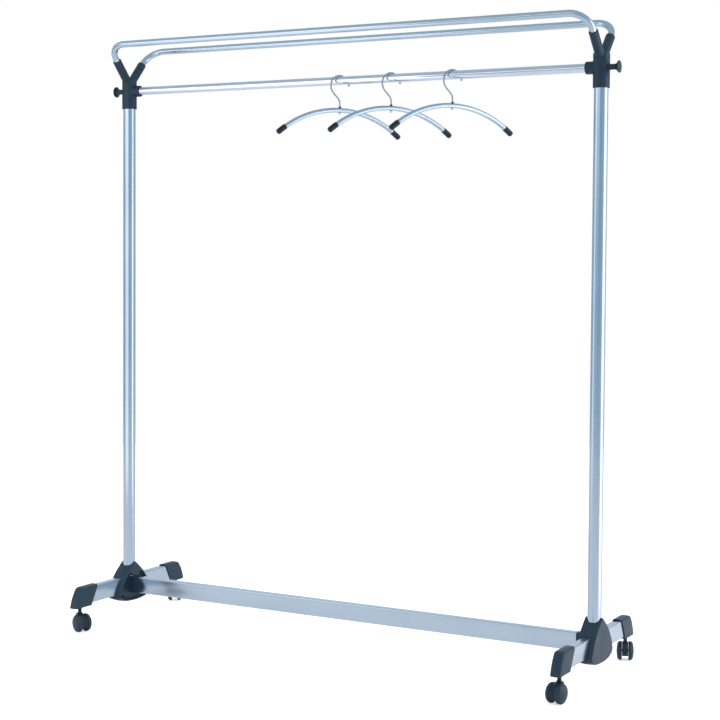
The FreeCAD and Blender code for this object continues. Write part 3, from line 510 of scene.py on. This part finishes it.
def studio():
    """White surround for the view, even white light for the floor, and a mapped studio for reflections."""
    world = bpy.data.worlds.new("studio")
    SCENE.world = world
    world.use_nodes = True
    t = world.node_tree
    t.nodes.clear()

    def new(kind, **props):
        n = t.nodes.new(kind)
        for k, v in props.items():
            setattr(n, k, v)
        return n

    def calc(op, a, b=None):
        n = new("ShaderNodeMath", operation=op)
        for sock, v in ((n.inputs[0], a), (n.inputs[1], b)):
            if v is None:
                continue
            if isinstance(v, bpy.types.NodeSocket):
                t.links.new(v, sock)
            else:
                sock.default_value = v
        return n.outputs[0]

    def soft(v, lo, hi):
        n = new("ShaderNodeMapRange", interpolation_type="SMOOTHSTEP")
        n.inputs["From Min"].default_value = lo
        n.inputs["From Max"].default_value = hi
        t.links.new(v, n.inputs["Value"])
        return n.outputs[0]

    def mixed(fac, a, b):
        n = new("ShaderNodeMix", data_type="RGBA")
        for sock, v in ((n.inputs["Factor"], fac), (n.inputs[6], a), (n.inputs[7], b)):
            if isinstance(v, bpy.types.NodeSocket):
                t.links.new(v, sock)
            elif isinstance(v, (int, float)):
                sock.default_value = v
            else:
                sock.default_value = tuple(v) + (1.0,)
        return n.outputs[2]

    co = new("ShaderNodeTexCoord")
    sep = new("ShaderNodeSeparateXYZ")
    t.links.new(co.outputs["Generated"], sep.inputs[0])
    az = calc("MULTIPLY", calc("ARCTAN2", sep.outputs[1], sep.outputs[0]), 180.0 / math.pi)
    el = calc("MULTIPLY", calc("ARCSINE", sep.outputs[2]), 180.0 / math.pi)
    # walls of the studio by direction, at eye height
    ring = new("ShaderNodeValToRGB")
    ring.color_ramp.interpolation = "EASE"
    walls = WALLS
    while len(ring.color_ramp.elements) > 1:
        ring.color_ramp.elements.remove(ring.color_ramp.elements[-1])
    for i, (deg, col) in enumerate(walls):
        pos = (deg + 180.0) / 360.0
        e = ring.color_ramp.elements[0] if i == 0 else ring.color_ramp.elements.new(pos)
        e.position = pos
        e.color = tuple(c / 3.0 for c in col) + (1.0,)
    t.links.new(calc("DIVIDE", calc("ADD", az, 180.0), 360.0), ring.inputs[0])
    boost = new("ShaderNodeMix", data_type="RGBA", blend_type="MULTIPLY")
    boost.inputs["Factor"].default_value = 1.0
    boost.clamp_result = False
    t.links.new(ring.outputs[0], boost.inputs[6])
    boost.inputs[7].default_value = (3.0, 3.0, 3.0, 1.0)
    tone = boost.outputs[2]
    # ceiling and the far floor
    tone = mixed(soft(el, 14.0, 34.0), tone, CEILING)
    tone = mixed(soft(calc("MULTIPLY", el, -1.0), 5.0, 14.0), tone, FAR_FLOOR)
    # white screen behind the stand, and a long strip light in front of it
    behind = calc("MULTIPLY", soft(calc("MULTIPLY", calc("ABSOLUTE", calc("SUBTRACT", az, 119.0)), -1.0), -48.0, -34.0),
                  calc("MULTIPLY", soft(el, 5.0, 9.0), soft(calc("MULTIPLY", el, -1.0), -46.0, -34.0)))
    tone = mixed(behind, tone, SCREEN)
    strip = calc("MULTIPLY", soft(calc("MULTIPLY", calc("ABSOLUTE", calc("ADD", az, 121.0)), -1.0), -42.0, -30.0),
                 calc("MULTIPLY", soft(el, 5.0, 7.5), soft(calc("MULTIPLY", el, -1.0), -18.0, -14.0)))
    tone = mixed(strip, tone, STRIP)
    path = new("ShaderNodeLightPath")
    view = mixed(path.outputs["Is Diffuse Ray"], tone, mixed(soft(sep.outputs[0], -0.8, 0.8), EVEN_DIM, EVEN))
    view = mixed(path.outputs["Is Camera Ray"], view, (1.0, 1.0, 1.0))
    bg = new("ShaderNodeBackground")
    t.links.new(view, bg.inputs["Color"])
    out = new("ShaderNodeOutputWorld")
    t.links.new(bg.outputs[0], out.inputs[0])
    world.cycles.sampling_method = "NONE"


# direction in degrees from +X towards +Y, and the colour seen there
WALLS = [
    (-180.0, (0.46, 0.58, 0.76)),
    (-150.0, (0.42, 0.56, 0.68)),
    (-120.0, (0.44, 0.58, 0.68)),
    (-84.0, (0.38, 0.54, 0.64)),
    (-60.0, (0.36, 0.52, 0.64)),
    (-36.0, (0.42, 0.58, 0.82)),
    (-16.0, (0.50, 0.62, 0.72)),
    (0.0, (0.80, 0.86, 0.94)),
    (20.0, (0.62, 0.72, 0.84)),
    (48.0, (0.42, 0.55, 0.68)),
    (75.0, (0.62, 0.72, 0.82)),
    (97.0, (0.72, 0.80, 0.88)),
    (125.0, (0.60, 0.70, 0.82)),
    (150.0, (0.46, 0.60, 0.76)),
    (170.0, (0.46, 0.58, 0.76)),
]
CEILING = (0.52, 0.62, 0.68)
FAR_FLOOR = (0.50, 0.58, 0.68)
SCREEN = (0.66, 0.76, 0.88)
STRIP = (1.7, 1.7, 1.7)
EVEN = (1.75, 1.80, 1.90)
EVEN_DIM = (0.66, 0.70, 0.78)
studio()



def panel(name, at, width, height, face, radiance):
    """A tall soft panel out of the picture; face is the azimuth it points to."""
    data = bpy.data.lights.new(name, "AREA")
    data.shape = "RECTANGLE"
    data.size, data.size_y = width, height
    data.energy = radiance * 4.0 * width * height
    data.color = (1.0, 0.90, 0.87)
    o = bpy.data.objects.new(name, data)
    COLL.objects.link(o)
    a = math.radians(face)
    o.location = at
    o.rotation_euler = Vector((-math.cos(a), -math.sin(a), 0.0)).to_track_quat("Z", "Y").to_euler()
    return o


PANEL_LEFT = panel("soft_panel_left", (-0.92, -1.05, 1.12), 1.2, 1.8, 90.0, 0.66)
PANEL_RIGHT = panel("soft_panel_right", (1.55, 0.36, 0.98), 0.85, 2.0, 180.0, 1.4)

# plain pale floor
fl_verts = [(0.0, 0.0, -0.2)]
fl_faces = []
for k in range(96):
    a = 2 * math.pi * k / 96
    fl_verts.append((4600 * math.cos(a), 4600 * math.sin(a), -0.2))
for k in range(96):
    fl_faces.append((0, 1 + k, 1 + (k + 1) % 96))
floor = mesh_object("floor", fl_verts, fl_faces)
fm = Mat("pale_floor")
fm.link(fm.mix(fm.span(fm.noise(3.0, 2.0), 0.3, 0.7, 0.0, 1.0), (0.70, 0.70, 0.70), (0.71, 0.71, 0.71)), fm.p.inputs["Base Color"])
fm.set(Roughness=1.0, Specular_IOR_Level=0.0)
lift = fm.node("ShaderNodeLightPath")
fm.p.inputs["Emission Color"].default_value = (1.0, 1.0, 1.0, 1.0)
fm.link(fm.math("MULTIPLY", lift.outputs["Is Camera Ray"], 0.55), fm.p.inputs["Emission Strength"])
floor.data.materials.append(fm.m)

# ------------------------------------------------------------------ tubes


def rounded_rect(w, h, r, steps=5):
    return rounded([(-w / 2, -h / 2, r), (w / 2, -h / 2, r), (w / 2, h / 2, r), (-w / 2, h / 2, r)], steps=steps)


def box_tube(name, w, h, r, wall, stations, along, centre):
    """Rectangular tube with rolled corners."""
    outer = rounded_rect(w, h, r)
    inner = rounded_rect(w - 2 * wall, h - 2 * wall, max(r - wall, 0.4))

    def put(loop, s):
        if along == "Y":
            return [(centre[0] + x, s, centre[1] + z) for x, z in loop]
        return [(s, centre[0] + x, centre[1] + z) for x, z in loop]

    loops = [put(outer, s) for s in stations] + [put(inner, s) for s in reversed(stations)]
    verts, faces = skin(loops, closed=True)
    return shade(mesh_object(name, verts, faces), 40.0)


def stations(a, b, step=40.0):
    n = max(2, int(round((b - a) / step)))
    return [a + (b - a) * k / n for k in range(n + 1)]


for side, sx in (("left", -1), ("right", 1)):
    leg = box_tube("leg_%s" % side, 22.0, 45.0, 2.3, 1.5, stations(-205.0, 205.0), "Y", (703.0 * sx, 93.0))
    finish_piece(leg, "leg_tube_%s" % side, PAINT_Y)
beam = box_tube("cross_beam", 22.0, 45.0, 2.3, 1.5, stations(-660.0, 660.0), "X", (0.0, 92.0))
finish_piece(beam, "base_beam", PAINT_X)

# upper rails: straight run, two bends and two short ends in a plane leaning out
for name, k in (("front", -1), ("back", 1)):
    line = [(-703.0, -85.0), (-703.0, -68.0)]
    line += arc(-653.0, -50.0, 50.0, 180, 90, 28)
    line += [(-653.0 + 1306.0 * j / 24, 0.0) for j in range(1, 24)]
    line += arc(653.0, -50.0, 50.0, 90, 0, 28)
    line += [(703.0, -68.0), (703.0, -85.0)]
    lean = math.radians(42.0)
    pts = [(x, (93.0 + h * math.sin(lean)) * k, 1604.5 + h * math.cos(lean)) for x, h in line]
    rail = sweep("hat_rail_%s" % name, pts, [8.75] * len(pts), first=(1, 0, 0), seg=40, inner=[7.55] * len(pts))
    shade(rail, 40.0)
    finish_piece(rail, "upper_rail_%s" % name, PAINT_X)

# ------------------------------------------------------------------ hubs
for side in ("left", "right"):
    for half in ("outer", "inner"):
        o = soft_copy("hub_%s_cover_%s" % (half, side), "hub_%s_%s" % (half, side), 0.8, 4)
        finish_piece(o, "hub_%s_cover_%s" % (half, side), CHARCOAL)

# black section between the beam and each hub, with a small step at its face
for side, sx in (("left", -1), ("right", 1)):
    loops = []
    for s, grow in ((630.0, -1.8), (659.6, -1.8), (659.7, -0.5), (660.2, 0.0), (676.0, 0.0), (692.0, 0.0)):
        loop = rounded_rect(22.0 + 2 * grow, 45.0 + 2 * grow, max(2.3 + grow, 0.6))
        loops.append([(s * sx, x, 92.0 + z) for x, z in loop])
    verts, faces = skin(loops)
    o = shade(mesh_object("beam_end_%s" % side, verts, faces), 30.0)
    finish_piece(o, "beam_end_piece_%s" % side, CHARCOAL)

# ------------------------------------------------------------------ end caps


def cap_outline(t, inset, inset_in):
    z = 64.5 + 54.5 * t
    y_in = 186.0 - 29.0 * t + inset_in
    # outer end: arc of 110 through both corners
    ax, ay, bx, by = 250.0, 64.5, 222.5, 119.0
    mx, my = (ax + bx) / 2, (ay + by) / 2
    half = math.hypot(bx - ax, by - ay) / 2
    nx, ny = (by - ay) / (2 * half), -(bx - ax) / (2 * half)
    rise = math.sqrt(110.0 ** 2 - half ** 2)
    cx, cy = mx - nx * rise, my - ny * rise
    y_out = cx + math.sqrt(110.0 ** 2 - (z - cy) ** 2) - inset
    w = 13.75 - inset
    pts = [(-w, y_in, 1.2), (w, y_in, 1.2)]
    side = [(w, y_in + (y_out - y_in) * f, 0.0) for f in (0.3, 0.55)]
    back = [(-w, y_in + (y_out - y_in) * f, 0.0) for f in (0.55, 0.3)]
    pts = pts + side + [(w, y_out, max(7.5 - inset, 1.0)), (0.0, y_out + 0.9, 0.0), (-w, y_out, max(7.5 - inset, 1.0))] + back
    return [(x, y, z) for x, y in rounded(pts, steps=7)]


def end_cap():
    levels = []
    for k in range(5):
        a = math.radians(90.0 * k / 4)
        levels.append(((1.4 * (1 - math.sin(a))) / 54.5, 1.4 * (1 - math.cos(math.pi / 2 - a)) if k else 1.4))
    levels = [(1.4 * (1 - math.cos(math.radians(90.0 * k / 4))) / 54.5, 1.4 * (1 - math.sin(math.radians(90.0 * k / 4)))) for k in range(5)]
    levels += [(t, 0.0) for t in (0.12, 0.25, 0.38, 0.5, 0.62, 0.74, 0.84)]
    edge = 6.2
    levels += [((54.5 - edge + edge * math.sin(math.radians(90.0 * k / 7))) / 54.5, edge * (1 - math.cos(math.radians(90.0 * k / 7)))) for k in range(8)]
    loops = []
    for t, inset in levels:
        loops.append(cap_outline(t, inset, min(inset, 1.2) * 0.8))
    # crown
    last = loops[-1]
    cx = sum(p[0] for p in last) / len(last)
    cy = sum(p[1] for p in last) / len(last)
    for f, rise in ((0.82, 0.32), (0.6, 0.58), (0.35, 0.76), (0.12, 0.82)):
        loops.append([(cx + (x - cx) * f, cy + (y - cy) * f, 119.0 + rise) for x, y, z in last])
    verts, faces = skin(loops)
    cap = mesh_object("end_cap", verts, faces)
    tube = rounded_rect(22.4, 45.4, 2.4)
    v, f = skin([[(x, s, 93.0 + z) for x, z in tube] for s in (140.0, 205.0)])
    boolean(cap, mesh_object("cutter", v, f))
    bore = lathe("cutter", [(0.0, 60.0), (7.05, 60.0), (7.05, 102.0), (0.0, 102.0)], 64)
    place(bore, move(0, 221.0, 0))
    boolean(cap, bore)
    return shade(cap, 38.0)


cap = end_cap()
for key, sx, sy in (("fl", -1, -1), ("fr", 1, -1), ("bl", -1, 1), ("br", 1, 1)):
    o = twin(cap, "end_cap_%s" % key, move(703.0 * sx) @ spin(0 if sy > 0 else 180))
    finish_piece(o, "leg_end_cap_%s" % key, CHARCOAL)
drop(cap)

# ------------------------------------------------------------------ casters
CASTER_TURN = {"fl": -22.7, "fr": -97.3, "bl": 125.7, "br": 109.8}
CASTER_AT = {"fl": (-703.0, -221.0), "fr": (703.0, -221.0), "bl": (-703.0, 221.0), "br": (703.0, 221.0)}


def hood_holes(x, y, turn):
    """Two small moulded dimples in the rim of the hood."""
    tools = []
    for ang, side in ((8.0, 1.6), (30.0, -1.4)):
        c = lathe("cutter", [(0.0, -4.0), (1.7, -4.0), (1.7, 6.0), (0.0, 6.0)], 24)
        a = math.radians(ang)
        aim = Vector((math.cos(a), 0, math.sin(a)))
        m = move(x, y) @ spin(turn) @ move(12.5 + 23.0 * aim.x, side, 24.0 + 23.0 * aim.z) @ aim.to_track_quat("Z", "Y").to_matrix().to_4x4()
        tools.append(place(c, m))
    return tools


wheel_profile = rounded([
    (3.06, 8.5, 0.0), (8.0, 8.5, 0.5), (9.0, 10.4, 0.6), (17.4, 10.4, 0.6), (18.6, 8.2, 0.4), (24.0, 8.2, 0.5), (24.0, 12.5, 0.0),
], closed=False, steps=5)
wheel_profile += arc(15.4, 11.37, 9.0, 17.0, 83.0, 14)
wheel_profile += rounded([(16.1, 20.15, 0.0), (15.6, 19.9, 0.3), (15.1, 20.45, 0.3), (10.0, 21.5, 6.0), (4.2, 22.15, 0.4), (3.4, 21.75, 0.4), (0.4, 21.75, 0.0)], closed=False, steps=5)
wheel_profile += [(0.0, 21.75)]
wheel = lathe("wheel", [(0.0, 19.5), (3.06, 19.5)] + wheel_profile, 96)
shade(wheel, 34.0)

first_hood = None
for key in ("fl", "fr", "bl", "br"):
    x, y = CASTER_AT[key]
    turn = CASTER_TURN[key]
    if first_hood is None:
        o = soft_copy("caster_hood_fl", "caster_hood_piece_fl", 0.5, 1, hood_holes(x, y, turn))
        first_hood = (o, move(x, y) @ spin(turn))
    else:
        src, m0 = first_hood
        o = twin(src, "caster_hood_piece_%s" % key, move(x, y) @ spin(turn) @ m0.inverted())
    finish_piece(o, "caster_hood_%s" % key, CASTER_P)
    axle = move(x, y) @ spin(turn) @ move(12.5, 0.0, 24.0)
    for letter, s in (("a", 1), ("b", -1)):
        # the lathe axis lies along the axle, outwards
        m = axle @ (Matrix.Rotation(math.radians(-90.0 * s), 4, "X"))
        w = twin(wheel, "wheel_%s_%s" % (key, letter), m)
        finish_piece(w, "caster_wheel_%s_%s" % (key, letter), NYLON)
drop(wheel)

# ------------------------------------------------------------------ top connectors and pegs
con = soft_copy("top_connector_right", "top_connector_piece_right", 0.8, 10)
other = twin(con, "top_connector_piece_left", spin(180))
finish_piece(con, "top_connector_right", CONNECTOR)
finish_piece(other, "top_connector_left", CONNECTOR)

peg_profile = rounded([
    (0.0, 17.5, 0.0), (7.9, 17.5, 0.0), (7.9, 22.0, 0.8), (7.0, 22.6, 0.6), (7.0, 34.5, 8.0), (8.8, 39.4, 9.0), (14.7, 43.9, 0.6), (15.0, 45.0, 0.5), (14.6, 46.1, 0.7), (8.0, 47.0, 6.0), (0.001, 47.2, 0.0),
], closed=False, steps=6)
peg_profile = [p for p in peg_profile if p[0] > 0.01 or p[1] < 20.0] + [(0.0, 47.2)]
peg = shade(lathe("peg", peg_profile, 72), 34.0)
for side, sx in (("left", -1), ("right", 1)):
    o = twin(peg, "coat_peg_piece_%s" % side, move(703.0 * sx, 0, 1485.0) @ Matrix.Rotation(math.radians(90.0 * sx), 4, "Y"))
    finish_piece(o, "coat_peg_%s" % side, KNOB)
drop(peg)

# ------------------------------------------------------------------ hangers
HOOK_TOP = 1485.0 + 11.0 + 0.3 + 2.15
HOOK_R = 27.0
HOOK_C = HOOK_TOP - HOOK_R


def hook_line():
    lean, rb = 46.0, 22.0
    low = 1408.5 - 6.3 - 0.3 - 4.2
    corner = HOOK_C - HOOK_R / math.sin(math.radians(lean))
    tan_len = rb * math.tan(math.radians(lean / 2))
    pts = [(0.0, low)]
    pts += [(0.0, low + (corner - tan_len - low) * k / 8) for k in range(1, 8)]
    pts += arc(-rb, corner - tan_len, rb, 0, lean, 14)
    tx, tz = -HOOK_R * math.cos(math.radians(lean)), HOOK_C - HOOK_R * math.sin(math.radians(lean))
    ex, ez = pts[-1]
    pts += [(ex + (tx - ex) * k / 6, ez + (tz - ez) * k / 6) for k in range(1, 6)]
    pts += arc(0.0, HOOK_C, HOOK_R, 180 + lean, 8, 64)
    return [(x, 0.0, z) for x, z in pts]


def hook():
    pts = hook_line()
    n = len(pts)
    radii = [2.15] * n
    o = sweep("hook", pts, radii, first=(0, 1, 0), seg=24)
    end = Vector(pts[-1])
    ball = []
    for k in range(0, 17):
        a = math.radians(-90 + 180 * k / 16)
        ball.append((max(3.0 * math.cos(a), 0.0) if 0 < k < 16 else 0.0, 3.0 * math.sin(a)))
    b = lathe("ball", ball, 32)
    place(b, move(end.x, end.y, end.z - 1.0))
    boolean(o, b, "UNION")
    return shade(o, 50.0)


def ring_point(deg, z0=1408.5, radius=289.0):
    a = math.radians(deg)
    return (radius * math.sin(a), 0.0, z0 - radius + radius * math.cos(a))


def arch():
    pts = [ring_point(-35.4 + 70.8 * k / 120) for k in range(121)]
    return shade(sweep("arch", pts, [6.3] * 121, first=(0, 1, 0), seg=48, inner=[4.8] * 121), 40.0)


def tip(sign):
    degs, radii = [], []
    # thin lip on the tube, then the body and a rounded nose
    per = math.degrees(1.0 / 289.0)
    for mm, r in ((0.0, 6.33), (0.15, 7.0), (0.6, 7.4)):
        degs.append(33.8 + mm * per)
        radii.append(r)
    for k in range(1, 9):
        degs.append(33.8 + (0.7 + (22.0 - 0.7) * k / 8) * per)
        radii.append(7.4)
    length = (39.5 - 33.8) / per
    nose = 5.2
    for k in range(0, 13):
        a = math.radians(90.0 * k / 12)
        degs.append(33.8 + (length - nose + nose * math.sin(a)) * per)
        radii.append(max(7.4 - nose + nose * math.cos(a), 0.3))
    pts = [ring_point(dg * sign) for dg in degs]
    return shade(sweep("tip", pts, radii, first=(0, 1, 0), seg=48), 34.0)


def hex_nut():
    """Small hexagon with a domed end that closes over the shank."""
    loops = []
    top = 1408.5 - 6.3 - 0.3
    for z, r, six in ((top, 3.5, 0.7), (top - 0.3, 4.1, 1.0), (top - 2.3, 4.15, 1.0), (top - 2.6, 3.9, 0.5), (top - 2.75, 3.3, 0.0),
                      (top - 3.5, 3.15, 0.0), (top - 4.2, 2.6, 0.0), (top - 4.75, 1.7, 0.0), (top - 5.0, 0.7, 0.0)):
        ring = []
        for k in range(48):
            a = 2 * math.pi * k / 48
            flat = (a % (math.pi / 3)) - math.pi / 6
            hexr = r * math.cos(math.pi / 6) / math.cos(flat)
            rr = six * hexr + (1 - six) * r * 0.97
            ring.append((rr * math.cos(a), rr * math.sin(a), z))
        loops.append(ring)
    v, f = skin(loops)
    return shade(mesh_object("nut", v, f), 30.0)


def ferrule():
    top = 1408.5 + 6.3
    prof = rounded([(0.0, top - 1.6, 0.0), (3.9, top - 1.6, 0.0), (3.9, top + 0.5, 0.3), (3.5, top + 0.8, 0.2), (3.5, top + 2.2, 0.3), (3.0, top + 2.9, 0.4), (2.25, top + 3.1, 0.2), (2.2, top + 1.0, 0.0), (0.0, top + 1.0, 0.0)], closed=False, steps=3)
    return shade(lathe("ferrule", prof, 40), 34.0)


hook_o, arch_o, tip_a, tip_b, nut_o, fer_o = hook(), arch(), tip(1), tip(-1), hex_nut(), ferrule()
for n, xc in (("1", -20.0), ("2", 132.0), ("3", 307.0)):
    m = move(xc) @ spin(60.0)
    finish_piece(twin(hook_o, "hook_wire_%s" % n, m), "hanger_%s_hook" % n, HOOK_STEEL)
    finish_piece(twin(arch_o, "hanger_tube_%s" % n, m), "hanger_%s_arch" % n, HANGER)
    finish_piece(twin(tip_a, "hanger_tip_%s_a" % n, m), "hanger_%s_tips" % n, TIP)
    finish_piece(twin(tip_b, "hanger_tip_%s_b" % n, m), "hanger_%s_tips" % n, TIP)
    finish_piece(twin(nut_o, "hook_nut_%s" % n, m), "hanger_%s_nut" % n, NUT_STEEL)
    finish_piece(twin(fer_o, "hanger_ferrule_%s" % n, m), "hanger_%s_ferrule" % n, CASTER_P)
for o in (hook_o, arch_o, tip_a, tip_b, nut_o, fer_o):
    drop(o)

# ------------------------------------------------------------------ frame nodes that stay
KEEP = {
    "post_left": PAINT_Z, "post_right": PAINT_Z, "post_spigots": PIN_STEEL, "beam_bolts": PIN_STEEL, "hub_screws": SCREW_BLACK,
    "caster_sockets": CASTER_P, "caster_stems": PIN_STEEL, "hanging_bar": CHROME, "bar_end_plugs": PIN_STEEL, "peg_studs": PIN_STEEL,
}
for key in ("fl", "fr", "bl", "br"):
    KEEP["caster_axle_" + key] = PIN_STEEL
for node, mat in KEEP.items():
    me = NODES[node].data
    me.materials.clear()
    me.materials.append(mat)
